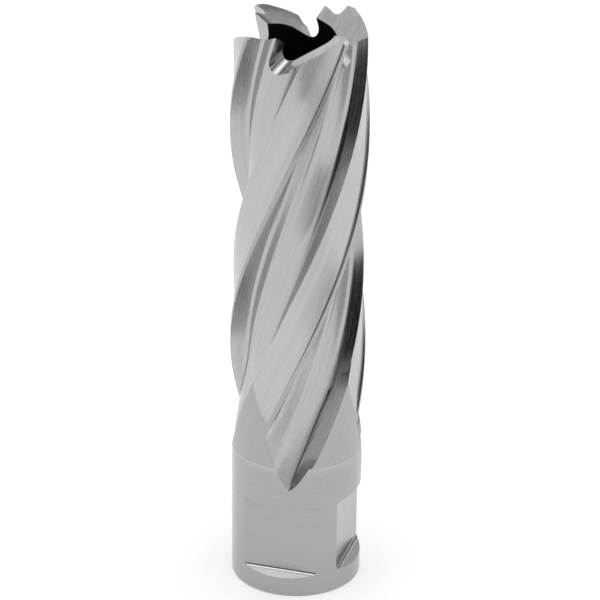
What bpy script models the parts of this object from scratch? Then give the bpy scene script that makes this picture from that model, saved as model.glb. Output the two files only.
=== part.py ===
"""Annular cutter: a one-piece slotting cutter with a flatted shank, four helical flutes and four teeth.

The cutter stands on the end of its shank with its teeth up. Metres, +Z up, origin at the centre
of the shank end. Angles are in degrees, measured from -Y (the first shank flat) towards +X,
which is the way the cutter turns as it cuts, seen from the teeth.
"""

import math

import bmesh
import bpy

# Overall sizes
OVERALL_LENGTH = 0.0858
SHANK_DIAMETER = 0.01905
SHANK_LENGTH = 0.0211
CUT_DIAMETER = 0.0195
SHANK_END_CHAMFER = 0.0001

# Bore for the slug, and the hole for the pilot pin through the shank
BORE_DIAMETER = 0.01016
BORE_DEPTH = 0.058
BORE_POINT_ANGLE = 118.0
PILOT_HOLE_DIAMETER = 0.0064
PILOT_COUNTERSINK = 0.0004

# Two flats on the shank, a quarter turn apart, with sloping ends and a small corner fillet
FLAT_DEPTH = 0.00171
FLAT_LOW_END = 0.0034
FLAT_LENGTH = 0.01105
FLAT_END_SLOPE = 15.0
FLAT_FILLET = 0.0004
FLAT_SPACING = 90.0

# Flutes: right-hand helix, seen in section as a hooked groove between two lands
FLUTE_COUNT = 4
HELIX_LEAD = 0.1328
TIP_ANGLE = 60.85
FLUTE_WIDTH = 54.6
RAKE_DEPTH = 0.0020
FLUTE_DEPTH = 0.0028
FLUTE_RIDGE = 0.00028
HEEL_DEPTH = 0.00045
FAR_WALL_SPAN = 2.3
FAR_WALL_FOOT = 0.00185

# Lands: a narrow full-diameter margin behind each rake edge, then a relieved back
MARGIN_WIDTH = 3.5
MARGIN_STEP_SPAN = 0.8
MARGIN_STEP = 0.00033
LAND_DEPTH = 0.00054

# Run-outs, where the wheel leaves the blank above the shank
FLUTE_RUN_OUT_HEIGHT = 0.0177
FLUTE_RUN_OUT_LENGTH = 0.015
FLUTE_RUN_OUT_VALLEY = 44.5
FLUTE_RUN_OUT_TIP = 43.6
FLUTE_RUN_OUT_SWEEP = 1.6
FLUTE_RUN_OUT_NOTCH = 0.0005
LAND_RUN_OUT_HEIGHT = 0.0273
LAND_RUN_OUT_LENGTH = 0.006

# Teeth: end relief, an inward slope to the bore, and a bevel at the outer corner
RIDGE_RADIUS = 0.0072
INNER_SLOPES = (10.5, 27.0, 27.0, 27.0)
OUTER_SLOPES = (38.0, 21.4, 21.4, 21.4)
TIP_DROPS = (0.0, 0.0, 0.0, 0.0003)
RELIEF_SLOPE = 0.2025
RELIEF_CURVE = 0.24
RELIEF_LEAD = 36.0
RELIEF_REACH = 56.0
CORNER_DROPS = (0.00065, 0.0003)
CORNER_SLOPES = (38.0, 24.0)

# Gullets: straight slots ground ahead of each inner edge, falling outwards
GULLET_RADIUS = 0.0015
GULLET_TURN = -10.75
GULLET_OFFSET = 0.00385
GULLET_FALL = 36.2
GULLET_FLOOR_DROP = 0.00141
GULLET_FLOOR_WIDTH = 0.00105
GULLET_RAKE_LEAN = 21.2
GULLET_BACK_SLOPE = 64.0
GULLET_HEIGHT = 0.01

# Mesh fineness
ROUND_STEPS = 96
FINE_STATION = 0.0012
COARSE_STATION = 0.0025
RELIEF_STEP = 6.0
FILLET_STEPS = 4

# How far cutters reach past what they cut
CLEAR = 0.0015
RUN_OUT_CLEAR = 0.00025

CUT_RADIUS = CUT_DIAMETER / 2
SHANK_RADIUS = SHANK_DIAMETER / 2
BLANK_RADIUS = max(CUT_RADIUS, SHANK_RADIUS)
BORE_RADIUS = BORE_DIAMETER / 2
PILOT_RADIUS = PILOT_HOLE_DIAMETER / 2
PITCH_ANGLE = 360.0 / FLUTE_COUNT
TURN_PER_METRE = 360.0 / HELIX_LEAD


def clear_scene():
    """Remove whatever the file holds."""
    for item in list(bpy.data.objects):
        bpy.data.objects.remove(item, do_unlink=True)


def polar(radius, angle, height):
    """Point at a radius and an angle from -Y towards +X."""
    turn = math.radians(angle)
    return (radius * math.sin(turn), -radius * math.cos(turn), height)


def add_object(name, mesh_builder):
    """New object whose mesh is filled by mesh_builder."""
    mesh = bpy.data.meshes.new(name)
    build = bmesh.new()
    mesh_builder(build)
    bmesh.ops.recalc_face_normals(build, faces=build.faces)
    build.to_mesh(mesh)
    build.free()
    item = bpy.data.objects.new(name, mesh)
    bpy.context.scene.collection.objects.link(item)
    return item


def add_loft(name, rings):
    """Closed solid through rings of points, each ring with the same number of points."""
    def fill(build):
        loops = [[build.verts.new(point) for point in ring] for ring in rings]
        for low, high in zip(loops, loops[1:]):
            for index in range(len(low)):
                following = (index + 1) % len(low)
                build.faces.new((low[index], low[following], high[following], high[index]))
        build.faces.new(loops[0])
        build.faces.new(loops[-1])
        bmesh.ops.triangulate(build, faces=build.faces)
    return add_object(name, fill)


def add_turned(name, outline):
    """Solid turned about Z from an outline of (radius, height) that starts and ends on the axis."""
    def fill(build):
        points = [build.verts.new((radius, 0.0, height)) for radius, height in outline]
        edges = [build.edges.new(pair) for pair in zip(points, points[1:])]
        bmesh.ops.spin(
            build,
            geom=points + edges,
            axis=(0.0, 0.0, 1.0),
            cent=(0.0, 0.0, 0.0),
            angle=math.tau,
            steps=ROUND_STEPS,
            use_merge=True,
        )
        bmesh.ops.remove_doubles(build, verts=build.verts, dist=1e-7)
    return add_object(name, fill)


def cut(body, cutter):
    """Subtract a cutter and keep it as a hidden guide."""
    cutter.hide_render = True
    cutter.display_type = "WIRE"
    step = body.modifiers.new(cutter.name, "BOOLEAN")
    step.operation = "DIFFERENCE"
    step.solver = "EXACT"
    step.object = cutter


def turned_blank():
    """Shank and body before anything is cut."""
    return add_turned("cutter_body", [
        (0.0, 0.0),
        (SHANK_RADIUS - SHANK_END_CHAMFER, 0.0),
        (SHANK_RADIUS, SHANK_END_CHAMFER),
        (SHANK_RADIUS, SHANK_LENGTH),
        (CUT_RADIUS, SHANK_LENGTH),
        (CUT_RADIUS, OVERALL_LENGTH + CLEAR),
        (0.0, OVERALL_LENGTH + CLEAR),
    ])


def bore_cutter():
    """Slug bore with a drilled point, and the pilot hole through the shank."""
    bore_floor = OVERALL_LENGTH - BORE_DEPTH
    point_height = (BORE_RADIUS - PILOT_RADIUS) / math.tan(math.radians(BORE_POINT_ANGLE / 2))
    mouth = PILOT_RADIUS + PILOT_COUNTERSINK
    return add_turned("bore_cutter", [
        (0.0, -CLEAR),
        (mouth + CLEAR, -CLEAR),
        (PILOT_RADIUS, PILOT_COUNTERSINK),
        (PILOT_RADIUS, bore_floor - point_height),
        (BORE_RADIUS, bore_floor),
        (BORE_RADIUS, OVERALL_LENGTH + 2 * CLEAR),
        (0.0, OVERALL_LENGTH + 2 * CLEAR),
    ])


def arc(centre, radius, start, end, steps):
    """Points along an arc in a plane, angles in degrees."""
    points = []
    for index in range(steps + 1):
        turn = math.radians(start + (end - start) * index / steps)
        points.append((centre[0] + radius * math.cos(turn), centre[1] + radius * math.sin(turn)))
    return points


def flat_cutter(index):
    """Pocket for one shank flat, as a profile of (radius, height) drawn out sideways."""
    slope = math.radians(FLAT_END_SLOPE)
    seat = SHANK_RADIUS - FLAT_DEPTH
    low = FLAT_LOW_END
    high = FLAT_LOW_END + FLAT_LENGTH
    reach = FLAT_DEPTH + CLEAR
    rise = reach * math.tan(slope)
    # The fillet centre lies one radius off the seat and one off the sloping end
    inset = FLAT_FILLET * math.tan(math.radians(45.0 - FLAT_END_SLOPE / 2))
    low_centre = (seat + FLAT_FILLET, low + inset)
    high_centre = (seat + FLAT_FILLET, high - inset)
    profile = [(seat + reach, low - rise)]
    profile += arc(low_centre, FLAT_FILLET, 270.0 - FLAT_END_SLOPE, 180.0, FILLET_STEPS)
    profile += arc(high_centre, FLAT_FILLET, 180.0, 90.0 + FLAT_END_SLOPE, FILLET_STEPS)
    profile.append((seat + reach, high + rise))
    turn = math.radians(FLAT_SPACING * index)
    outward = (math.sin(turn), -math.cos(turn))
    sideways = (math.cos(turn), math.sin(turn))
    rings = []
    for offset in (-SHANK_RADIUS, SHANK_RADIUS):
        rings.append([
            (
                radius * outward[0] + offset * sideways[0],
                radius * outward[1] + offset * sideways[1],
                height,
            )
            for radius, height in profile
        ])
    return add_loft(f"flat_cutter_{index + 1}", rings)


def wall_foot_angle(height):
    """Angle of the far wall's foot, which the run-out draws in towards its tip."""
    share = (height - FLUTE_RUN_OUT_HEIGHT) / FLUTE_RUN_OUT_LENGTH
    share = min(1.0, max(0.0, share))
    full = FLUTE_WIDTH - FAR_WALL_SPAN
    return FLUTE_RUN_OUT_TIP + (full - FLUTE_RUN_OUT_TIP) * share ** FLUTE_RUN_OUT_SWEEP


def flute_section(wall_foot):
    """Flute floor from the rake edge round to the heel, as (angle, depth under the cut radius)."""
    floor = FLUTE_DEPTH
    ridge = FLUTE_DEPTH - FLUTE_RIDGE
    return [
        (0.0, RAKE_DEPTH),
        (0.9, RAKE_DEPTH + 0.55 * (floor - RAKE_DEPTH)),
        (2.6, RAKE_DEPTH + 0.88 * (floor - RAKE_DEPTH)),
        (5.5, floor),
        (0.20 * wall_foot, floor - 0.35 * FLUTE_RIDGE),
        (0.31 * wall_foot, ridge),
        (0.44 * wall_foot, floor - 0.35 * FLUTE_RIDGE),
        (0.60 * wall_foot, floor),
        (0.78 * wall_foot, floor - 0.1 * FLUTE_RIDGE),
        (0.90 * wall_foot, floor - 0.2 * (floor - FAR_WALL_FOOT)),
        (0.965 * wall_foot, floor - 0.5 * (floor - FAR_WALL_FOOT)),
        (wall_foot, FAR_WALL_FOOT),
        ((wall_foot + FLUTE_WIDTH) / 2, (FAR_WALL_FOOT + HEEL_DEPTH) / 2),
        (FLUTE_WIDTH, HEEL_DEPTH),
    ]


def land_section():
    """Relieved back of the land ahead, from the heel to the margin step."""
    margin = PITCH_ANGLE - MARGIN_WIDTH
    step_foot = margin - MARGIN_STEP_SPAN
    heel = FLUTE_WIDTH + 1.1
    middle = (heel + step_foot) / 2
    return [
        (heel, HEEL_DEPTH),
        ((heel + middle) / 2, (HEEL_DEPTH + 2 * LAND_DEPTH) / 3),
        (middle, LAND_DEPTH),
        ((middle + step_foot) / 2, (MARGIN_STEP + 2 * LAND_DEPTH) / 3),
        (step_foot, MARGIN_STEP),
    ]


def flute_exit_height(angle, wall_foot):
    """Height at which the flute leaves the metal, by angle from the rake edge."""
    if angle == wall_foot:
        return FLUTE_RUN_OUT_HEIGHT - FLUTE_RUN_OUT_NOTCH
    offset = FLUTE_RUN_OUT_VALLEY - angle
    if offset > 0:
        return FLUTE_RUN_OUT_HEIGHT + (0.1467 * offset + 0.000854 * offset ** 2) / 1000
    return FLUTE_RUN_OUT_HEIGHT + 0.05 * offset ** 2 / 1000


def land_exit_height(angle):
    """Height at which the land relief leaves the metal."""
    offset = PITCH_ANGLE - MARGIN_WIDTH - angle
    return LAND_RUN_OUT_HEIGHT + (0.134 * offset + 0.00187 * offset ** 2) / 1000


def run_out(depth, height, exit_height, length):
    """Radius of the cut at a height: full depth above, rising out of the blank below."""
    skin = CUT_RADIUS if exit_height > SHANK_LENGTH else SHANK_RADIUS
    under_skin = max(0.0, depth - (CUT_RADIUS - skin))
    leaving = math.sqrt(under_skin / (depth + RUN_OUT_CLEAR))
    start = exit_height - length * (1.0 - leaving)
    share = max(0.0, (start + length - height) / length)
    radius = CUT_RADIUS - depth + (depth + RUN_OUT_CLEAR) * share ** 2
    return min(radius, BLANK_RADIUS + 0.8 * RUN_OUT_CLEAR)


def station_heights():
    """Heights of the flute sections, closer together through the run-outs."""
    height = FLUTE_RUN_OUT_HEIGHT - 3 * FINE_STATION
    fine_end = FLUTE_RUN_OUT_HEIGHT + FLUTE_RUN_OUT_LENGTH + FINE_STATION
    heights = []
    while height < OVERALL_LENGTH + 2 * CLEAR:
        heights.append(height)
        height += FINE_STATION if height < fine_end else COARSE_STATION
    heights.append(height)
    return heights


def flute_cutter(index):
    """One helical flute with the relief of the land ahead of it."""
    outer = BLANK_RADIUS + CLEAR
    last_angle = PITCH_ANGLE - MARGIN_WIDTH
    rings = []
    for height in station_heights():
        wall_foot = wall_foot_angle(height)
        turn = TIP_ANGLE + PITCH_ANGLE * index + (height - OVERALL_LENGTH) * TURN_PER_METRE
        ring = [polar(outer, turn, height), polar(BLANK_RADIUS + RUN_OUT_CLEAR, turn, height)]
        for angle, depth in flute_section(wall_foot):
            exit_height = flute_exit_height(angle, wall_foot)
            radius = run_out(depth, height, exit_height, FLUTE_RUN_OUT_LENGTH)
            ring.append(polar(radius, turn + angle, height))
        for angle, depth in land_section():
            radius = run_out(depth, height, land_exit_height(angle), LAND_RUN_OUT_LENGTH)
            ring.append(polar(radius, turn + angle, height))
        ring.append(polar(BLANK_RADIUS + RUN_OUT_CLEAR, turn + last_angle, height))
        for share in (0.8, 0.6, 0.4, 0.2):
            ring.append(polar(outer, turn + last_angle * share, height))
        rings.append(ring)
    return add_loft(f"flute_cutter_{index + 1}", rings)


def relief_drop(radius, behind):
    """How far the end face has fallen at an angle behind the tooth tip."""
    turn = math.radians(behind)
    return radius * (RELIEF_SLOPE * turn + RELIEF_CURVE * turn * abs(turn))


def relief_cutter(index):
    """End relief of one tooth: inner slope, ridge, outer slope and corner bevel."""
    kind = index % 2
    inner_rise = math.tan(math.radians(INNER_SLOPES[index]))
    outer_rise = math.tan(math.radians(OUTER_SLOPES[index]))
    bevel_fall = math.tan(math.radians(CORNER_SLOPES[kind]))
    # The crest beside the smaller bevel is the highest point of the cutter
    tip_height = OVERALL_LENGTH - TIP_DROPS[index]
    tip_radius = CUT_RADIUS - CORNER_DROPS[1] / math.tan(math.radians(CORNER_SLOPES[1]))
    ridge_height = tip_height - (tip_radius - RIDGE_RADIUS) * outer_rise
    corner_height = tip_height - CORNER_DROPS[kind]
    inner = BORE_RADIUS - CLEAR / 2
    outer = CUT_RADIUS + CLEAR
    tip = TIP_ANGLE + PITCH_ANGLE * index

    def face_height(radius, behind):
        rise = inner_rise if radius < RIDGE_RADIUS else outer_rise
        height = ridge_height + (radius - RIDGE_RADIUS) * rise
        return height - relief_drop(radius, behind)

    def bevel_height(radius):
        return corner_height + (CUT_RADIUS - radius) * bevel_fall

    def crest_radius(behind):
        low = RIDGE_RADIUS
        high = outer - CLEAR / 4
        for _ in range(30):
            middle = (low + high) / 2
            if face_height(middle, behind) < bevel_height(middle):
                low = middle
            else:
                high = middle
        return low

    top = max(face_height(outer, -RELIEF_LEAD), OVERALL_LENGTH + CLEAR) + CLEAR
    rings = []
    behind = -RELIEF_LEAD
    while behind < RELIEF_REACH:
        crest = crest_radius(behind)
        edge_height = min(bevel_height(outer), face_height(outer, behind))
        profile = [
            (inner, face_height(inner, behind)),
            (RIDGE_RADIUS, face_height(RIDGE_RADIUS, behind)),
            (crest, face_height(crest, behind)),
            (outer, edge_height),
            (outer, top),
            (inner, top),
        ]
        rings.append([polar(radius, tip - behind, height) for radius, height in profile])
        behind += RELIEF_STEP
    return add_loft(f"relief_cutter_{index + 1}", rings)


def gullet_cutter(index):
    """Slot ahead of one inner edge: a leaning rake wall, a round root and a sloping back."""
    turn = math.radians(TIP_ANGLE + PITCH_ANGLE * index + GULLET_TURN)
    fall = math.radians(GULLET_FALL)
    lean = math.radians(GULLET_RAKE_LEAN)
    back = math.radians(GULLET_BACK_SLOPE)
    along = (math.sin(turn), -math.cos(turn))
    across = (math.cos(turn), math.sin(turn))
    # The profile plane is square to the slot: heights in it are shortened by the fall
    floor = (OVERALL_LENGTH - GULLET_FLOOR_DROP) * math.cos(fall)
    centre = (GULLET_OFFSET, floor + GULLET_RADIUS)
    wide = GULLET_OFFSET + GULLET_FLOOR_WIDTH
    profile = arc(centre, GULLET_RADIUS, 180.0 - GULLET_RAKE_LEAN, 270.0, 2 * FILLET_STEPS)
    start = profile[0]
    top = floor + GULLET_HEIGHT
    profile.insert(0, (start[0] + (top - start[1]) * math.tan(lean), top))
    profile.append((wide, floor))
    profile.append((wide + GULLET_HEIGHT / math.tan(back), top))
    rings = []
    for distance in (-BORE_RADIUS * 0.4, CUT_RADIUS + 2 * CLEAR):
        ring = []
        for offset, square_height in profile:
            height = square_height / math.cos(fall) - distance * math.tan(fall)
            ring.append((
                distance * along[0] + offset * across[0],
                distance * along[1] + offset * across[1],
                height,
            ))
        rings.append(ring)
    return add_loft(f"gullet_cutter_{index + 1}", rings)


def steel_material():
    """Ground high-speed steel."""
    material = bpy.data.materials.new("ground_steel")
    material.use_nodes = True
    shader = material.node_tree.nodes["Principled BSDF"]
    shader.inputs["Base Color"].default_value = (0.52, 0.51, 0.50, 1.0)
    shader.inputs["Metallic"].default_value = 1.0
    shader.inputs["Roughness"].default_value = 0.36
    return material


def build():
    """Turn the blank, bore it, mill the flats and flutes, then grind the teeth."""
    clear_scene()
    body = turned_blank()
    cut(body, bore_cutter())
    for index in range(2):
        cut(body, flat_cutter(index))
    for index in range(FLUTE_COUNT):
        cut(body, flute_cutter(index))
    for index in range(FLUTE_COUNT):
        cut(body, relief_cutter(index))
    for index in range(FLUTE_COUNT):
        cut(body, gullet_cutter(index))
    body.data.materials.append(steel_material())
    body.data.shade_smooth()
    body.data.set_sharp_from_angle(angle=math.radians(25.0))


build()
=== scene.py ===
import math

import bmesh
import bpy
from mathutils import Matrix, Vector


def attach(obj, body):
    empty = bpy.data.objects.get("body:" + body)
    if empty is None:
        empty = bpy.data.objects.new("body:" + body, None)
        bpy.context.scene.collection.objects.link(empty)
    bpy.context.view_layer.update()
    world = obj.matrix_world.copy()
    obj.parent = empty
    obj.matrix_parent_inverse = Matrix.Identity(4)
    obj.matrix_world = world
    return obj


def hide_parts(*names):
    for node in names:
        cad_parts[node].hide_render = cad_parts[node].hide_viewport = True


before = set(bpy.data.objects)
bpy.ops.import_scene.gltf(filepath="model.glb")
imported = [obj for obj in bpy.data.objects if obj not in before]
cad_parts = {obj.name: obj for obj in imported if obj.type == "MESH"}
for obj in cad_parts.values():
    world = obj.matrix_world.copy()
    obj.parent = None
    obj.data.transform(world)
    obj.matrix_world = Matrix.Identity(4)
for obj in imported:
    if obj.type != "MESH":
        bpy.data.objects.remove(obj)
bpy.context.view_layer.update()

# Annular cutter, dressed: one ground steel body that stands for the plain CAD solid.
# Metres, +Z up, the cutter stands on the end of its shank.
# Angles run from -Y (first shank flat) towards +X.

print("stage: frame loaded")


# Small helpers

near = 1e-6  # two places closer than this count as the same


def deselectAll():
    for item in list(bpy.context.selected_objects):
        item.select_set(False)


def makeActive(item):
    deselectAll()
    bpy.context.view_layer.objects.active = item
    item.select_set(True)


def polar(radius, angle, height):
    turn = math.radians(angle)
    return Vector((radius * math.sin(turn), -radius * math.cos(turn), height))


def looking(direction):
    # a test for the faces that look in one direction
    return lambda face: face.normal.dot(Vector(direction)) > 0.9


def editFaces(item, test):
    # in edit mode, select only the faces that pass the test
    edit = bmesh.from_edit_mesh(item.data)
    for face in edit.faces:
        face.select_set(False)
    for face in edit.faces:
        if test(face):
            face.select_set(True)
    bmesh.update_edit_mesh(item.data)


def editEdges(item, test):
    # the same for edges
    edit = bmesh.from_edit_mesh(item.data)
    for face in edit.faces:
        face.select_set(False)
    for edge in edit.edges:
        edge.select_set(False)
    for edge in edit.edges:
        if test(edge):
            edge.select_set(True)
    bmesh.update_edit_mesh(item.data)


def openEdit(item, kind):
    makeActive(item)
    bpy.ops.object.mode_set(mode="EDIT")
    bpy.ops.mesh.select_mode(type=kind)


def closeEdit():
    # back to object mode, with every face looking outward
    bpy.ops.mesh.select_all(action="SELECT")
    bpy.ops.mesh.normals_make_consistent(inside=False)
    bpy.ops.object.mode_set(mode="OBJECT")


def drawnUp(name, rings):
    # a disc of as many points as the profile has, drawn up ring by ring, then set to shape
    count = len(rings[0])
    startRadius = 0.01
    step = 0.001
    cellsPerMetre = 1e6

    def cell(spot):
        return (round(spot.x * cellsPerMetre), round(spot.y * cellsPerMetre))

    deselectAll()
    bpy.ops.mesh.primitive_circle_add(
        vertices=count, radius=startRadius, fill_type="NGON", location=(0, 0, 0))
    item = bpy.context.object
    item.name = name
    openEdit(item, "FACE")
    bpy.ops.mesh.select_all(action="SELECT")
    for _ in rings[1:]:
        bpy.ops.mesh.extrude_region_move(TRANSFORM_OT_translate={"value": (0, 0, step)})
    bpy.ops.object.mode_set(mode="OBJECT")
    places = {cell(vertex.co): index for index, vertex in enumerate(item.data.vertices[:count])}
    for vertex in item.data.vertices:
        vertex.co = rings[round(vertex.co.z / step)][places[cell(vertex.co)]]
    openEdit(item, "FACE")
    closeEdit()
    return item


def copyTurned(item, name, angle):
    # a copy with its own mesh, turned about the cutter's axis
    twin = item.copy()
    twin.data = item.data.copy()
    twin.name = name
    bpy.context.scene.collection.objects.link(twin)
    twin.data.transform(Matrix.Rotation(math.radians(angle), 4, "Z"))
    return twin


def joined(items, name):
    deselectAll()
    for item in items:
        item.select_set(True)
    bpy.context.view_layer.objects.active = items[0]
    bpy.ops.object.join()
    items[0].name = name
    return items[0]


def cutAway(body, cutter):
    makeActive(body)
    step = body.modifiers.new("cut", "BOOLEAN")
    step.operation = "DIFFERENCE"
    step.solver = "EXACT"
    step.object = cutter
    bpy.ops.object.modifier_apply(modifier=step.name)
    bpy.data.objects.remove(cutter, do_unlink=True)


# Blank: a bar whose body is a hair wider than its shank

blank = {
    "length": 0.0858,
    "shankRadius": 0.01905 / 2,
    "shankLength": 0.0211,
    "ringHeight": 0.0166,
    "bodyRadius": 0.0195 / 2,
    "endChamfer": 0.0001,
    "spare": 0.0015,
    "sides": 256,
}


def makeBlank():
    deselectAll()
    bpy.ops.mesh.primitive_cylinder_add(
        vertices=blank["sides"], radius=blank["shankRadius"], depth=blank["ringHeight"],
        location=(0, 0, blank["ringHeight"] / 2))
    body = bpy.context.object
    body.name = "ground_cutter"
    bpy.ops.object.transform_apply(location=True, rotation=True, scale=True)
    openEdit(body, "FACE")
    editFaces(body, looking((0, 0, 1)))
    # a ring of edges under the run-outs keeps their shading off the shank
    upperShank = blank["shankLength"] - blank["ringHeight"]
    bpy.ops.mesh.extrude_region_move(TRANSFORM_OT_translate={"value": (0, 0, upperShank)})
    bpy.ops.mesh.extrude_region_move(TRANSFORM_OT_translate={"value": (0, 0, 0)})
    wider = blank["bodyRadius"] / blank["shankRadius"]
    bpy.ops.transform.resize(
        value=(wider, wider, 1), center_override=(0, 0, blank["shankLength"]))
    bodyLength = blank["length"] + blank["spare"] - blank["shankLength"]
    bpy.ops.mesh.extrude_region_move(TRANSFORM_OT_translate={"value": (0, 0, bodyLength)})
    editEdges(body, lambda edge: all(vertex.co.z < near for vertex in edge.verts))
    bpy.ops.mesh.bevel(offset=blank["endChamfer"], segments=1, affect="EDGES")
    closeEdit()
    return body


# Bore for the slug, drilled to a point, and the pilot hole through the shank

bore = {
    "radius": 0.01016 / 2,
    "depth": 0.058,
    "pointAngle": 118,
    "pilotRadius": 0.0064 / 2,
    # how deep the countersink is, and how much wider it makes the hole's radius
    "countersink": 0.0004,
    "sides": 160,
}


def makeBore():
    floor = blank["length"] - bore["depth"]
    point = (bore["radius"] - bore["pilotRadius"]) / math.tan(math.radians(bore["pointAngle"] / 2))
    height = blank["length"] + 2 * blank["spare"] - floor
    deselectAll()
    bpy.ops.mesh.primitive_cylinder_add(
        vertices=bore["sides"], radius=bore["radius"], depth=height,
        location=(0, 0, floor + height / 2))
    tool = bpy.context.object
    bpy.ops.object.transform_apply(location=True, rotation=True, scale=True)
    openEdit(tool, "FACE")
    editFaces(tool, looking((0, 0, -1)))
    # the countersink's cone is drawn on past the end face, as far again
    cone = 2 * bore["countersink"]
    stages = (
        (bore["pilotRadius"] / bore["radius"], point),
        (1.0, floor - point - bore["countersink"]),
        ((bore["pilotRadius"] + cone) / bore["pilotRadius"], cone),
    )
    level = floor
    for size, drop in stages:
        bpy.ops.mesh.extrude_region_move(TRANSFORM_OT_translate={"value": (0, 0, -drop)})
        level -= drop
        bpy.ops.transform.resize(value=(size, size, 1), center_override=(0, 0, level))
    closeEdit()
    return tool


# Two flats a quarter turn apart, with sloping ends and a small root fillet

flat = {
    "cut": 0.00171,
    "low": 0.0034,
    "length": 0.01105,
    "endSlope": 15,
    "fillet": 0.0004,
    "reach": 0.0042,
}


def makeFlat():
    # a block against the seat, its outer face drawn out along the sloping ends
    seat = blank["shankRadius"] - flat["cut"]
    middle = flat["low"] + flat["length"] / 2
    deselectAll()
    bpy.ops.mesh.primitive_cube_add(
        size=1, location=(0, -seat - flat["reach"] / 2, middle),
        scale=(2 * blank["shankRadius"], flat["reach"], flat["length"]))
    tool = bpy.context.object
    bpy.ops.object.transform_apply(location=True, rotation=True, scale=True)
    openEdit(tool, "FACE")
    editFaces(tool, looking((0, -1, 0)))
    rise = flat["reach"] * math.tan(math.radians(flat["endSlope"]))
    taller = 1 + 2 * rise / flat["length"]
    bpy.ops.transform.resize(
        value=(1, 1, taller), center_override=(0, -seat - flat["reach"], middle))

    def atEnds(edge):
        first, second = edge.verts
        onSeat = first.co.y > -seat - near and second.co.y > -seat - near
        return onSeat and abs(first.co.z - second.co.z) < near

    editEdges(tool, atEnds)
    bpy.ops.mesh.bevel(offset=flat["fillet"], segments=8, affect="EDGES")
    closeEdit()
    return tool


# Helical flutes with the relief of the land beside them, and their run-outs down into the shank

flute = {
    "count": 4,
    "lead": 0.1328,
    "tipAngle": 60.85,
    "width": 54.6,
    "rakeDepth": 0.0020,
    "depth": 0.0028,
    "ridge": 0.00028,
    # the floor behind the cutting edge: degrees, and share of the way down from the rake
    "edgeFloor": ((0.0, 0.0), (0.9, 0.55), (2.6, 0.88), (5.5, 1.0)),
    # the ridge along the floor: share of the way to the far wall, and of the ridge
    "ridgeFloor": ((0.20, 0.35), (0.31, 1.0), (0.44, 0.35), (0.60, 0.0), (0.78, 0.1)),
    # the rise to the far wall's foot: share of the way, and of the rise
    "footFloor": ((0.90, 0.2), (0.965, 0.5), (1.0, 1.0)),
    "heelDepth": 0.00045,
    "heelRound": 0.8,
    "wallFoot": 52.3,
    "footDepth": 0.00185,
    "exitHeight": 0.0173,
    "exitLength": 0.015,
    "exitValley": 44.5,
    "exitTip": 43.6,
    # how a run-out's end climbs round the bar: per degree, and per degree squared
    "exitRise": 0.0001467,
    "exitCurve": 0.000000854,
    "exitWallCurve": 0.00005,
    "skinBlend": 0.0016,
    "exitSweep": 1.6,
    "margin": 3.5,
    "marginStep": 0.00033,
    "marginSpan": 0.8,
    "landDepth": 0.00054,
    "landExit": 0.0273,
    "landExitLength": 0.006,
    "landExitRise": 0.000134,
    "landExitCurve": 0.00000187,
    "toolBelow": 0.0034,
    "fineAbove": 0.008,
    "outside": 0.00025,
    # where nothing is cut, the tool's inner side stays this share of the way outside the skin
    "lid": 0.8,
    "spare": 0.0015,
    "fineStep": 0.0004,
    "coarseStep": 0.0008,
}


def between(points, finer):
    # the same section with more points, on a soft curve where the section is soft
    out = []
    for index, (angle, depth) in enumerate(points[:-1]):
        out.append((angle, depth))
        nextAngle, nextDepth = points[index + 1]
        if index not in finer:
            continue
        beforeAngle, beforeDepth = points[max(0, index - 1)]
        afterAngle, afterDepth = points[min(len(points) - 1, index + 2)]
        span = nextAngle - angle
        slopeIn = (nextDepth - beforeDepth) / (nextAngle - beforeAngle)
        slopeOut = (afterDepth - depth) / (afterAngle - angle)
        for part in (1, 2, 3):
            t = part / 4
            h1 = 2 * t ** 3 - 3 * t ** 2 + 1
            h2 = t ** 3 - 2 * t ** 2 + t
            h3 = -2 * t ** 3 + 3 * t ** 2
            h4 = t ** 3 - t ** 2
            out.append((
                angle + span * t,
                h1 * depth + h2 * span * slopeIn + h3 * nextDepth + h4 * span * slopeOut,
            ))
    out.append(points[-1])
    return out


def wallFootAt(height):
    share = min(1.0, max(0.0, (height - flute["exitHeight"]) / flute["exitLength"]))
    return flute["exitTip"] + (flute["wallFoot"] - flute["exitTip"]) * share ** flute["exitSweep"]


def fluteSection(foot):
    floor = flute["depth"]
    ridge = flute["ridge"]
    rise = floor - flute["footDepth"]
    rake = flute["rakeDepth"]
    points = [(angle, rake + share * (floor - rake)) for angle, share in flute["edgeFloor"]]
    points += [(way * foot, floor - share * ridge) for way, share in flute["ridgeFloor"]]
    points += [(way * foot, floor - share * rise) for way, share in flute["footFloor"]]
    points.append((flute["width"], flute["heelDepth"]))
    return between(points, range(2, len(points) - 2))


def landSection():
    stepFoot = 90 - flute["margin"] - flute["marginSpan"]
    heel = flute["width"] + flute["heelRound"]
    middle = (heel + stepFoot) / 2
    land = flute["landDepth"]
    points = [
        (heel, flute["heelDepth"]),
        ((heel + middle) / 2, (flute["heelDepth"] + 2 * land) / 3),
        (middle, land),
        ((middle + stepFoot) / 2, (flute["marginStep"] + 2 * land) / 3),
        (stepFoot, flute["marginStep"]),
    ]
    return between(points, range(len(points) - 1))


def fluteExit(angle, foot):
    offset = flute["exitValley"] - angle
    if offset > 0:
        return flute["exitHeight"] + flute["exitRise"] * offset + flute["exitCurve"] * offset ** 2
    if angle < foot:
        return flute["exitHeight"]
    return flute["exitHeight"] + flute["exitWallCurve"] * offset ** 2


def landExit(angle):
    offset = 90 - flute["margin"] - angle
    return flute["landExit"] + flute["landExitRise"] * offset + flute["landExitCurve"] * offset ** 2


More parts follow.
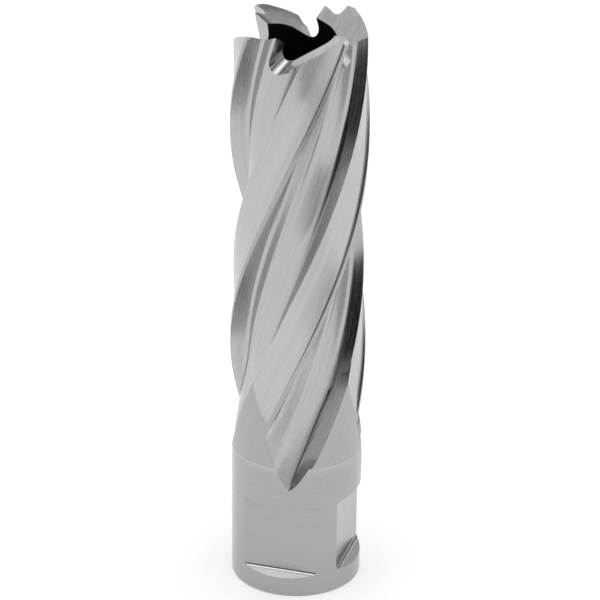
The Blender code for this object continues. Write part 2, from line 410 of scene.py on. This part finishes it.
def runOut(depth, height, exitHeight, length):
    # full depth above, and below it a wheel's curve that rises out of the metal,
    # which ends at the body's skin, or lower down at the shank's
    above = min(1.0, max(0.0, (exitHeight - blank["shankLength"]) / flute["skinBlend"] + 0.5))
    above = above ** 2 * (3 - 2 * above)
    skin = blank["shankRadius"] + (blank["bodyRadius"] - blank["shankRadius"]) * above
    underSkin = max(0.0, depth - (blank["bodyRadius"] - skin))
    whole = depth + flute["outside"]
    start = exitHeight - length * (1 - math.sqrt(underSkin / whole))
    share = max(0.0, (start + length - height) / length)
    radius = blank["bodyRadius"] - depth + whole * share ** 2
    return min(radius, blank["bodyRadius"] + flute["lid"] * flute["outside"])


def makeFlute():
    heights = []
    height = flute["exitHeight"] - flute["toolBelow"]
    while height < blank["length"] + 2 * blank["spare"]:
        heights.append(height)
        fine = height < flute["landExit"] + flute["fineAbove"]
        height += flute["fineStep"] if fine else flute["coarseStep"]
    outer = blank["bodyRadius"] + flute["spare"]
    justOutside = blank["bodyRadius"] + flute["outside"]
    rings = []
    for height in heights:
        foot = wallFootAt(height)
        turn = flute["tipAngle"] + (height - blank["length"]) * 360 / flute["lead"]
        ring = [polar(outer, turn, height), polar(justOutside, turn, height)]
        for angle, depth in fluteSection(foot):
            radius = runOut(depth, height, fluteExit(angle, foot), flute["exitLength"])
            ring.append(polar(radius, turn + angle, height))
        for angle, depth in landSection():
            radius = runOut(depth, height, landExit(angle), flute["landExitLength"])
            ring.append(polar(radius, turn + angle, height))
        last = 90 - flute["margin"]
        ring.append(polar(justOutside, turn + last, height))
        for fifths in (4, 3, 2, 1):
            ring.append(polar(outer, turn + last * fifths / 5, height))
        rings.append(ring)
    tool = drawnUp("flute_tool", rings)
    turned = [copyTurned(tool, f"flute_tool_{n}", 90 * n) for n in range(1, flute["count"])]
    return joined([tool] + turned, "flute_tools")


# Teeth: end relief with an inner slope, a ridge, an outer slope and a corner bevel

tooth = {
    # one value for each tooth: front right, back right, back left, front left
    "innerSlopes": (8.0, 27.0, 27.0, 27.0),
    "outerSlopes": (32.0, 21.4, 21.4, 21.4),
    "tipDrops": (0.0005, 0.0, 0.0, 0.0003),
    "cornerDrops": (0.0003, 0.0003, 0.00065, 0.0003),
    "cornerSlopes": (38.0, 24.0, 38.0, 24.0),
    "cornerRelief": (0.5, 0.0, 0.0, 0.0),
    # the plainest tooth, which sets where the others' ridges lie
    "standard": 1,
    "ridgeRadius": 0.0072,
    "reliefSlope": 0.2025,
    "reliefCurve": 0.24,
    # the tool reaches so many degrees ahead of the tip and behind it
    "ahead": 35.5,
    "behind": 56.0,
    "step": 1.5,
}


def makeRelief(index):
    ridge = tooth["ridgeRadius"]
    innerRise = math.tan(math.radians(tooth["innerSlopes"][index]))
    outerRise = math.tan(math.radians(tooth["outerSlopes"][index]))
    bevelFall = math.tan(math.radians(tooth["cornerSlopes"][index]))
    radius = blank["bodyRadius"]
    tipHeight = blank["length"] - tooth["tipDrops"][index]
    standardFall = math.tan(math.radians(tooth["cornerSlopes"][tooth["standard"]]))
    tipRadius = radius - tooth["cornerDrops"][tooth["standard"]] / standardFall
    ridgeHeight = tipHeight - (tipRadius - ridge) * outerRise
    cornerHeight = tipHeight - tooth["cornerDrops"][index]
    inner = bore["radius"] - blank["spare"] / 2
    outer = radius + blank["spare"]
    tip = flute["tipAngle"] + 90 * index

    def reliefDrop(place, behind):
        turn = math.radians(behind)
        return place * (tooth["reliefSlope"] * turn + tooth["reliefCurve"] * turn * abs(turn))

    def faceHeight(place, behind):
        rise = innerRise if place < ridge else outerRise
        return ridgeHeight + (place - ridge) * rise - reliefDrop(place, behind)

    def bevelHeight(place, behind):
        drop = reliefDrop(radius, max(0.0, behind)) * tooth["cornerRelief"][index]
        return cornerHeight + (radius - place) * bevelFall - drop

    def crest(behind):
        # the radius where the outer slope meets the corner bevel
        low = ridge
        high = outer - blank["spare"] / 4
        for _ in range(30):
            middle = (low + high) / 2
            if faceHeight(middle, behind) < bevelHeight(middle, behind):
                low = middle
            else:
                high = middle
        return low

    top = max(faceHeight(outer, -tooth["ahead"]), blank["length"] + blank["spare"]) + blank["spare"]
    rings = []
    behind = -tooth["ahead"]
    while behind < tooth["behind"]:
        peak = crest(behind)
        profile = [(inner, faceHeight(inner, behind)), (ridge, faceHeight(ridge, behind))]
        profile.append(((ridge + peak) / 2, faceHeight((ridge + peak) / 2, behind)))
        profile.append((peak, faceHeight(peak, behind)))
        profile.append((outer, min(bevelHeight(outer, behind), faceHeight(outer, behind))))
        profile += [(outer, top), (inner, top)]
        rings.append([polar(place, tip - behind, height) for place, height in profile])
        behind += tooth["step"]
    return drawnUp(f"relief_tool_{index}", rings)


# Gullets: slots ahead of each inner edge, falling outwards

gullet = {
    "root": 0.0015,
    "turn": -10.75,
    "offset": 0.00385,
    "fall": 36.2,
    "floorDrop": 0.00141,
    "floorWidth": 0.00105,
    "rakeLean": 21.2,
    "backSlope": 64.0,
    "start": 0.4,
    "height": 0.01,
    "rootSteps": 20,
}


def makeGullets():
    fall = math.radians(gullet["fall"])
    turn = math.radians(flute["tipAngle"] + gullet["turn"])
    along = Vector((math.sin(turn), -math.cos(turn), 0))
    across = Vector((math.cos(turn), math.sin(turn), 0))
    floor = (blank["length"] - gullet["floorDrop"]) * math.cos(fall)
    top = floor + gullet["height"]
    profile = []
    for step in range(gullet["rootSteps"] + 1):
        start = 180 - gullet["rakeLean"]
        swing = math.radians(start + (270 - start) * step / gullet["rootSteps"])
        profile.append((
            gullet["offset"] + gullet["root"] * math.cos(swing),
            floor + gullet["root"] * (1 + math.sin(swing)),
        ))
    first = profile[0]
    lean = math.tan(math.radians(gullet["rakeLean"]))
    profile.insert(0, (first[0] + (top - first[1]) * lean, top))
    wide = gullet["offset"] + gullet["floorWidth"]
    profile.append((wide, floor))
    back = gullet["height"] / math.tan(math.radians(gullet["backSlope"]))
    profile.append((wide + back, top))
    rings = []
    # from a little behind the axis to well outside the body
    for distance in (-bore["radius"] * gullet["start"], blank["bodyRadius"] + 2 * blank["spare"]):
        ring = []
        for offset, square in profile:
            spot = along * distance + across * offset
            spot.z = square / math.cos(fall) - distance * math.tan(fall)
            ring.append(spot)
        rings.append(ring)
    tool = drawnUp("gullet_tool", rings)
    turned = [copyTurned(tool, f"gullet_tool_{n}", 90 * n) for n in range(1, flute["count"])]
    return [tool] + turned


# Ground steel: satin grey, with grinding lines that follow each surface

steel = {
    "light": (0.475, 0.47, 0.462, 1),
    "deep": (0.445, 0.44, 0.432, 1),
    "boreColour": (0.012, 0.011, 0.010, 1),
    # how much lighter or darker each surface is than the steel's own tone; for the flutes, the tooth
    # faces, the flats' ledges and the step this is painted light and shade
    "turnedShade": 0.88,
    "landShade": 1.10,
    "flutePaintedLight": 1.04,
    "toothPaintedShade": 0.84,
    "cloudShade": 0.12,
    "ledgePaintedHighlight": 1.30,
    "stepPaintedShadow": 0.80,
    "roughness": 0.25,
    "deepRougher": 0.06,
    "lightSmoother": 0.05,
    "boreRoughness": 0.65,
    "bumpStrength": 0.065,
    "bumpDistance": 0.00002,
    # lines per metre along x, y and z
    "helixLines": (9000, 9000, 90),
    "ringLines": (260, 260, 11000),
    "faceLines": (9000, 9000, 9000),
    "faceFlatten": 0.03,
    "clouds": (1800, 450, 450),
    "lineDetail": 6.0,
    "lineRoughness": 0.62,
    "bandScale": 0.22,
    "bandDetail": 3.0,
    "plainMarks": 0.45,
}

# where a finish, or a painted highlight or shadow, fades in: heights and radii in metres, and slopes as
# the upward part of the normal
fade = {
    "shankSkin": (blank["shankRadius"] - 0.00008, blank["shankRadius"] - 0.00002),
    "shankTop": (0.0195, 0.0215),
    "runOutPoint": (0.0161, 0.0165),
    "toothSlope": (0.55, 0.8),
    "toothHeight": (0.074, 0.076),
    "boreWall": (bore["radius"], 0.0052),
    "markedHeight": (0.026, 0.040),
    "landFoot": (0.0090, 0.0092),
    "landSkin": (0.00958, 0.00968),
    "landHeight": (0.0255, 0.0265),
    "barSkin": (0.00962, 0.00970),
    "ledgeSlope": (0.86, 0.94),
    "stepWidth": (0.00005, 0.00022),
    "tone": (0.36, 0.64),
    "cloud": (0.4, 0.6),
}


def addNode(tree, kind, **values):
    node = tree.nodes.new(kind)
    for name, value in values.items():
        setattr(node, name, value)
    return node


def feed(tree, socket, value):
    # a plain value is set on the socket, and another node's output is linked to it
    if isinstance(value, (int, float, tuple)):
        socket.default_value = value
    else:
        tree.links.new(value, socket)


def mathNode(tree, operation, *values, clamp=False):
    node = addNode(tree, "ShaderNodeMath", operation=operation, use_clamp=clamp)
    for socket, value in zip(node.inputs, values):
        feed(tree, socket, value)
    return node.outputs[0]


def product(tree, first, second):
    return mathNode(tree, "MULTIPLY", first, second)


def oneMinus(tree, value):
    return mathNode(tree, "SUBTRACT", 1.0, value)


def rampBetween(tree, value, low, high):
    node = addNode(tree, "ShaderNodeMapRange", interpolation_type="SMOOTHSTEP")
    node.inputs["From Min"].default_value = low
    node.inputs["From Max"].default_value = high
    tree.links.new(value, node.inputs["Value"])
    return node.outputs["Result"]


def mixFloat(tree, share, first, second):
    node = addNode(tree, "ShaderNodeMix", data_type="FLOAT")
    for socket, value in ((0, share), (2, first), (3, second)):
        feed(tree, node.inputs[socket], value)
    return node.outputs[0]


def mixColour(tree, share, first, second):
    node = addNode(tree, "ShaderNodeMix", data_type="RGBA")
    for socket, value in ((0, share), (6, first), (7, second)):
        feed(tree, node.inputs[socket], value)
    return node.outputs[2]


def groupTree(name, inputs, outputs):
    tree = bpy.data.node_groups.new(name, "ShaderNodeTree")
    for label, kind in inputs:
        tree.interface.new_socket(name=label, in_out="INPUT", socket_type=kind)
    for label, kind in outputs:
        tree.interface.new_socket(name=label, in_out="OUTPUT", socket_type=kind)
    return tree, tree.nodes.new("NodeGroupInput"), tree.nodes.new("NodeGroupOutput")


def untwistGroup():
    # turns each point back along the helix, so that a flute runs straight up
    tree, into, out = groupTree(
        "along_flutes",
        [("Position", "NodeSocketVector"), ("Turn per metre", "NodeSocketFloat")],
        [("Straight", "NodeSocketVector")])
    parts = addNode(tree, "ShaderNodeSeparateXYZ")
    tree.links.new(into.outputs["Position"], parts.inputs[0])
    turn = product(tree, parts.outputs["Z"], into.outputs["Turn per metre"])
    spin = addNode(tree, "ShaderNodeVectorRotate", rotation_type="Z_AXIS")
    tree.links.new(into.outputs["Position"], spin.inputs["Vector"])
    tree.links.new(product(tree, turn, -1.0), spin.inputs["Angle"])
    tree.links.new(spin.outputs[0], out.inputs["Straight"])
    return tree


def streakGroup():
    # fine lines and broader bands, drawn out in one direction by the stretch
    tree, into, out = groupTree(
        "grinding_lines",
        [("Position", "NodeSocketVector"), ("Stretch", "NodeSocketVector")],
        [("Lines", "NodeSocketFloat"), ("Bands", "NodeSocketFloat")])
    drawn = addNode(tree, "ShaderNodeVectorMath", operation="MULTIPLY")
    tree.links.new(into.outputs["Position"], drawn.inputs[0])
    tree.links.new(into.outputs["Stretch"], drawn.inputs[1])
    fine = addNode(tree, "ShaderNodeTexNoise", noise_dimensions="3D")
    fine.inputs["Scale"].default_value = 1.0
    fine.inputs["Detail"].default_value = steel["lineDetail"]
    fine.inputs["Roughness"].default_value = steel["lineRoughness"]
    tree.links.new(drawn.outputs[0], fine.inputs["Vector"])
    broad = addNode(tree, "ShaderNodeTexNoise", noise_dimensions="3D")
    broad.inputs["Scale"].default_value = steel["bandScale"]
    broad.inputs["Detail"].default_value = steel["bandDetail"]
    tree.links.new(drawn.outputs[0], broad.inputs["Vector"])
    tree.links.new(fine.outputs[0], out.inputs["Lines"])
    tree.links.new(broad.outputs[0], out.inputs["Bands"])
    return tree


def steelMasks(tree, height, radius, slope):
    # where each finish, the near-black bore and each painted highlight or shadow sit: shank below, flutes
    # above, tooth faces at the top, bore inside, the painted highlight on the flats' ledges and the
    # painted shadow along the step
    def faded(value, name):
        return rampBetween(tree, value, *fade[name])

    # the run-outs reach down into the shank, and keep the finish of the flutes there
    onSkin = faded(radius, "shankSkin")
    onShank = product(tree, oneMinus(tree, faded(height, "shankTop")), onSkin)
    onShank = mathNode(tree, "MAXIMUM", onShank, oneMinus(tree, faded(height, "runOutPoint")))
    onLand = product(tree, oneMinus(tree, faded(radius, "landSkin")), faded(radius, "landFoot"))
    offStep = mathNode(tree, "ABSOLUTE", mathNode(tree, "SUBTRACT", height, blank["shankLength"]))
    return {
        "shank": onShank,
        "land": product(tree, onLand, faded(height, "landHeight")),
        "bar": mathNode(tree, "MAXIMUM", faded(radius, "barSkin"), onShank),
        "tooth": product(tree, faded(slope, "toothSlope"), faded(height, "toothHeight")),
        # upward faces on the shank, where the flats' ledges get a painted highlight
        "ledge": product(tree, faded(slope, "ledgeSlope"), onShank),
        # a thin band along the step from shank to body, for a painted shadow
        "step": product(tree, oneMinus(tree, faded(offStep, "stepWidth")), onSkin),
        "bore": oneMinus(tree, faded(radius, "boreWall")),
        # the grinding shows on the flutes and teeth, and less on the run-outs and the shank
        "marked": mathNode(tree, "ADD", faded(height, "markedHeight"), steel["plainMarks"], clamp=True),
    }


def steelShade(tree, masks, cloudy):
    # the turned bar stays a little darker than the ground lands and flutes, and the flutes are painted a
    # little lighter than the steel's own tone, painted light against the shade in their hollows
    shade = mixFloat(tree, masks["land"], steel["flutePaintedLight"], steel["landShade"])
    shade = mixFloat(tree, masks["bar"], shade, steel["turnedShade"])
    # the tooth faces are painted darker, a painted shade, and carry clouds from their grinding; the
    # flats' upward ledges are painted bright, a painted highlight
    cloudedPaintedShade = steel["toothPaintedShade"] - steel["cloudShade"]
    # the tooth faces' darker tone is painted shade, picked by their upward slope and height; the clouds
    # on it are real
    shade = mixFloat(tree, masks["tooth"], shade, mixFloat(tree, cloudy, cloudedPaintedShade, steel["toothPaintedShade"]))
    shade = mixFloat(tree, masks["ledge"], shade, steel["ledgePaintedHighlight"])
    # a painted shadow: a thin dark line along the step from the shank to the body
    return mixFloat(tree, masks["step"], shade, steel["stepPaintedShadow"])


def steelMaterial():
    material = bpy.data.materials.new("ground_steel_satin")
    material.use_nodes = True
    tree = material.node_tree
    links = tree.links
    shader = tree.nodes["Principled BSDF"]
    place = addNode(tree, "ShaderNodeTexCoord").outputs["Object"]
    parts = addNode(tree, "ShaderNodeSeparateXYZ")
    links.new(place, parts.inputs[0])
    squares = [mathNode(tree, "POWER", parts.outputs[axis], 2.0) for axis in ("X", "Y")]
    radius = mathNode(tree, "SQRT", mathNode(tree, "ADD", *squares))
    normal = addNode(tree, "ShaderNodeSeparateXYZ")
    links.new(addNode(tree, "ShaderNodeNewGeometry").outputs["Normal"], normal.inputs[0])
    masks = steelMasks(tree, parts.outputs["Z"], radius, normal.outputs["Z"])

    straight = addNode(tree, "ShaderNodeGroup", node_tree=untwistGroup())
    straight.inputs["Turn per metre"].default_value = 2 * math.pi / flute["lead"]
    links.new(place, straight.inputs["Position"])
    # on the tooth faces the lines run round the cutter, so they are drawn by the radius
    around = addNode(tree, "ShaderNodeCombineXYZ")
    for axis in ("X", "Y"):
        links.new(product(tree, parts.outputs[axis], steel["faceFlatten"]), around.inputs[axis])
    links.new(radius, around.inputs["Z"])
    streaks = streakGroup()

    def lines(position, stretch):
        node = addNode(tree, "ShaderNodeGroup", node_tree=streaks)
        links.new(position, node.inputs["Position"])
        node.inputs["Stretch"].default_value = steel[stretch]
        return node.outputs

    helix = lines(straight.outputs["Straight"], "helixLines")
    ring = lines(place, "ringLines")
    face = lines(around.outputs[0], "faceLines")
    clouds = lines(place, "clouds")

    def eachFinish(output):
        body = mixFloat(tree, masks["shank"], helix[output], ring[output])
        return mixFloat(tree, masks["tooth"], body, face[output])

    fine = eachFinish("Lines")
    tone = mathNode(tree, "ADD", product(tree, fine, 0.5), product(tree, eachFinish("Bands"), 0.5))
    tone = mixFloat(tree, masks["marked"], 0.5, rampBetween(tree, tone, *fade["tone"]))
    cloudy = rampBetween(tree, clouds["Lines"], *fade["cloud"])

    shaded = addNode(tree, "ShaderNodeVectorMath", operation="SCALE")
    links.new(mixColour(tree, tone, steel["deep"], steel["light"]), shaded.inputs[0])
    links.new(steelShade(tree, masks, cloudy), shaded.inputs["Scale"])
    # the bore is coloured near black and made rougher
    colour = mixColour(tree, masks["bore"], shaded.outputs[0], steel["boreColour"])
    links.new(colour, shader.inputs["Base Color"])
    rough = steel["roughness"] + steel["deepRougher"]
    gloss = mixFloat(tree, tone, rough, steel["roughness"] - steel["lightSmoother"])
    links.new(mixFloat(tree, masks["bore"], gloss, steel["boreRoughness"]), shader.inputs["Roughness"])
    shader.inputs["Metallic"].default_value = 1.0
    relief = addNode(tree, "ShaderNodeBump")
    relief.inputs["Strength"].default_value = steel["bumpStrength"]
    relief.inputs["Distance"].default_value = steel["bumpDistance"]
    links.new(mixFloat(tree, masks["marked"], 0.5, fine), relief.inputs["Height"])
    links.new(relief.outputs[0], shader.inputs["Normal"])
    return material


# The finished piece

finish = {
    "mergeDistance": 0.000002,
    "smoothAngle": 17,
}

cutter = makeBlank()
cutAway(cutter, makeBore())
firstFlat = makeFlat()
secondFlat = copyTurned(firstFlat, "flat_tool_2", 90)
cutAway(cutter, firstFlat)
cutAway(cutter, secondFlat)
print("stage: blank, bore and flats", len(cutter.data.polygons))
cutAway(cutter, makeFlute())
print("stage: flutes", len(cutter.data.polygons))
for toothIndex in range(flute["count"]):
    cutAway(cutter, makeRelief(toothIndex))
print("stage: end relief", len(cutter.data.polygons))
for gulletTool in makeGullets():
    cutAway(cutter, gulletTool)
print("stage: gullets", len(cutter.data.polygons))

makeActive(cutter)
bpy.ops.object.mode_set(mode="EDIT")
bpy.ops.mesh.select_all(action="SELECT")
bpy.ops.mesh.remove_doubles(threshold=finish["mergeDistance"])
closeEdit()
bpy.ops.object.shade_smooth_by_angle(angle=math.radians(finish["smoothAngle"]))
cutter.data.materials.clear()
cutter.data.materials.append(steelMaterial())
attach(cutter, "root")
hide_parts("cutter_body")
print("stage: cutter finished", len(cutter.data.vertices))


# Camera at the photograph's view

view = {
    "turn": 16.5,
    "distance": 0.41203,
    "elevation": 25.444,
    "focalPixels": 2856,
    "imageWidth": 600,
    "sensorWidth": 36,
    "nearest": 0.01,
    "yaw": 0.034625,
    "roll": 0.56162,
    "pitch": 0.69483,
    "aim": 0.038,
}


def makeCamera():
    rise = math.radians(view["elevation"])
    place = Vector((
        0,
        -view["distance"] * math.cos(rise),
        view["aim"] + view["distance"] * math.sin(rise)))
    forward = Vector((0, math.cos(rise), -math.sin(rise)))
    right = Vector((1, 0, 0))
    up = right.cross(forward)
    pitch, yaw, roll = (math.radians(view[name]) for name in ("pitch", "yaw", "roll"))
    forward = forward * math.cos(pitch) + up * math.sin(pitch)
    up = right.cross(forward)
    forward = forward * math.cos(yaw) + right * math.sin(yaw)
    right = forward.cross(up)
    side = right * math.cos(roll) + up * math.sin(roll)
    top = up * math.cos(roll) - right * math.sin(roll)
    matrix = Matrix((
        (side.x, top.x, -forward.x, place.x),
        (side.y, top.y, -forward.y, place.y),
        (side.z, top.z, -forward.z, place.z),
        (0, 0, 0, 1)))
    data = bpy.data.cameras.new("photo_view")
    data.sensor_width = view["sensorWidth"]
    data.lens = view["focalPixels"] / view["imageWidth"] * view["sensorWidth"]
    data.clip_start = view["nearest"]
    camera = bpy.data.objects.new("photo_view", data)
    bpy.context.scene.collection.objects.link(camera)
    camera.matrix_world = Matrix.Rotation(math.radians(view["turn"]), 4, "Z") @ matrix
    bpy.context.scene.camera = camera


# Floor, background, lamp and the cards that the steel reflects

studio = {
    "floorSize": 3.0,
    "floorDrop": 0.00002,
    "floorColour": (0.80, 0.80, 0.80, 1),
    "floorRoughness": 0.9,
    "floorGlow": 0.35,
    "farGlow": 0.55,
    "glowFrom": 0.25,
    "glowTo": 1.4,
    "worldFill": 0.15,
    "lampHeight": 0.9,
    "lampSize": 1.4,
    "lampPower": 11,
    "cardDistance": 1.0,
    "lowestCard": 0.002,
    "softboxAim": 0.04,
    "stripLift": 0.0004,
}

# each card is named by where it stands, and its heading is in degrees to the camera's right
# upright flags: heading, width, lower edge and upper edge in degrees, then the glow
flags = {
    "black_front": (-2.5, 75, -3, 41, 0.0),
    "dark_front_left": (-48, 18, -3, 36, 0.2),
    "grey_front_left": (-85, 56, -3, 28, 0.58),
    "grey_back_left": (-145, 65, -3, 14, 0.6),
    "dark_back_right": (129, 59, -3, 24, 0.16),
    "grey_back_right": (129, 59, 24, 46, 0.78),
    "grey_back": (170, 23, -3, 46, 0.22),
}

# softboxes: heading, rise, width and height in degrees, then the glow
softboxes = {
    "white_back_left": (-142, 30, 60, 22, 1.3),
    "white_back": (-171, 53.5, 30, 9, 1.8),
    "white_right": (88, 56, 56, 24, 1.8),
    "white_front_left": (-40, 56, 40, 20, 3.3),
}

# strips on the floor: heading and width in degrees, nearest and farthest in metres, then the glow
strips = {
    "white_floor_back": (-173, 40, 0.25, 0.75, 1.6),
    "patch_front": (27, 46, 0.145, 0.25, 0.3),
}


def seenRays(tree):
    # 1 for what the camera sees, straight or by way of a shiny or clear surface
    path = tree.nodes.new("ShaderNodeLightPath")
    seen = mathNode(tree, "ADD", path.outputs["Is Camera Ray"], path.outputs["Is Glossy Ray"], clamp=True)
    return mathNode(tree, "ADD", seen, path.outputs["Is Transmission Ray"], clamp=True)


def makeFloor():
    deselectAll()
    bpy.ops.mesh.primitive_plane_add(size=studio["floorSize"], location=(0, 0, -studio["floorDrop"]))
    floor = bpy.context.object
    floor.name = "pale_floor"
    material = bpy.data.materials.new("pale_floor")
    material.use_nodes = True
    tree = material.node_tree
    shader = tree.nodes["Principled BSDF"]
    shader.inputs["Base Color"].default_value = studio["floorColour"]
    shader.inputs["Roughness"].default_value = studio["floorRoughness"]
    shader.inputs["Specular IOR Level"].default_value = 0.0
    shader.inputs["Emission Color"].default_value = (1, 1, 1, 1)
    # the lamp's light falls off with distance, so the floor's own white takes over
    away = addNode(tree, "ShaderNodeVectorMath", operation="LENGTH")
    tree.links.new(addNode(tree, "ShaderNodeTexCoord").outputs["Object"], away.inputs[0])
    farOff = rampBetween(tree, away.outputs["Value"], studio["glowFrom"], studio["glowTo"])
    glow = mathNode(tree, "MULTIPLY_ADD", farOff, studio["farGlow"], studio["floorGlow"])
    tree.links.new(product(tree, seenRays(tree), glow), shader.inputs["Emission Strength"])
    floor.data.materials.append(material)


def makeWorld():
    world = bpy.data.worlds.new("white_studio")
    world.use_nodes = True
    tree = world.node_tree
    back = tree.nodes["Background"]
    back.inputs["Color"].default_value = (1, 1, 1, 1)
    strength = mixFloat(tree, seenRays(tree), studio["worldFill"], 1.0)
    tree.links.new(strength, back.inputs["Strength"])
    bpy.context.scene.world = world


def makeLamp():
    # a wide lamp overhead, which shines straight down
    light = bpy.data.lights.new("overhead", "AREA")
    light.shape = "SQUARE"
    light.size = studio["lampSize"]
    light.energy = studio["lampPower"]
    lamp = bpy.data.objects.new("overhead", light)
    bpy.context.scene.collection.objects.link(lamp)
    lamp.location = (0, 0, studio["lampHeight"])
    lamp.visible_glossy = False


def glowMaterial(name, strength):
    material = bpy.data.materials.new(name)
    material.use_nodes = True
    tree = material.node_tree
    tree.nodes.clear()
    out = tree.nodes.new("ShaderNodeOutputMaterial")
    glow = tree.nodes.new("ShaderNodeEmission")
    glow.inputs["Color"].default_value = (1, 1, 1, 1)
    glow.inputs["Strength"].default_value = strength
    tree.links.new(glow.outputs[0], out.inputs["Surface"])
    return material


def towards(heading):
    # the level direction at so many degrees to the camera's right
    turn = math.radians(heading + view["turn"])
    return Vector((math.sin(turn), -math.cos(turn), 0))


def reach(distance, angle):
    # how wide a card is at a distance if it spans an angle
    return 2 * distance * math.tan(math.radians(angle / 2))


def makeCard(name, width, height, matrix, strength):
    # a flat card out of view, which only the steel's reflections see
    deselectAll()
    bpy.ops.mesh.primitive_plane_add(size=1, location=(0, 0, 0))
    card = bpy.context.object
    card.name = name
    card.data.transform(Matrix.Diagonal((width, height, 1, 1)))
    card.data.transform(matrix)
    card.data.materials.append(glowMaterial(name, strength))
    card.visible_camera = False
    card.visible_diffuse = False
    card.visible_shadow = False


def facing(place, aim):
    turn = (aim - place).to_track_quat("Z", "Y").to_matrix().to_4x4()
    return Matrix.Translation(place) @ turn


def makeFlag(name, heading, spread, low, high, strength):
    distance = studio["cardDistance"]
    bottom = max(studio["lowestCard"], distance * math.tan(math.radians(low)))
    top = distance * math.tan(math.radians(high))
    aim = Vector((0, 0, (bottom + top) / 2))
    place = towards(heading) * distance + aim
    makeCard(name, reach(distance, spread), top - bottom, facing(place, aim), strength)


def makeSoftbox(name, heading, rise, wide, tall, strength):
    distance = studio["cardDistance"]
    lift = math.radians(rise)
    away = towards(heading) * math.cos(lift) + Vector((0, 0, math.sin(lift)))
    aim = Vector((0, 0, studio["softboxAim"]))
    matrix = facing(aim + away * distance, aim)
    makeCard(name, reach(distance, wide), reach(distance, tall), matrix, strength)


def makeStrip(name, heading, spread, near, far, strength):
    middle = (near + far) / 2
    place = towards(heading) * middle + Vector((0, 0, studio["stripLift"]))
    turn = Matrix.Rotation(math.radians(heading + view["turn"]), 4, "Z")
    makeCard(name, reach(middle, spread), far - near, Matrix.Translation(place) @ turn, strength)


makeFloor()
makeWorld()
makeLamp()
for cardName, card in flags.items():
    makeFlag(cardName, *card)
for cardName, card in softboxes.items():
    makeSoftbox(cardName, *card)
for cardName, card in strips.items():
    makeStrip(cardName, *card)
makeCamera()
bpy.context.scene.view_settings.view_transform = "Standard"
print("stage: studio ready")
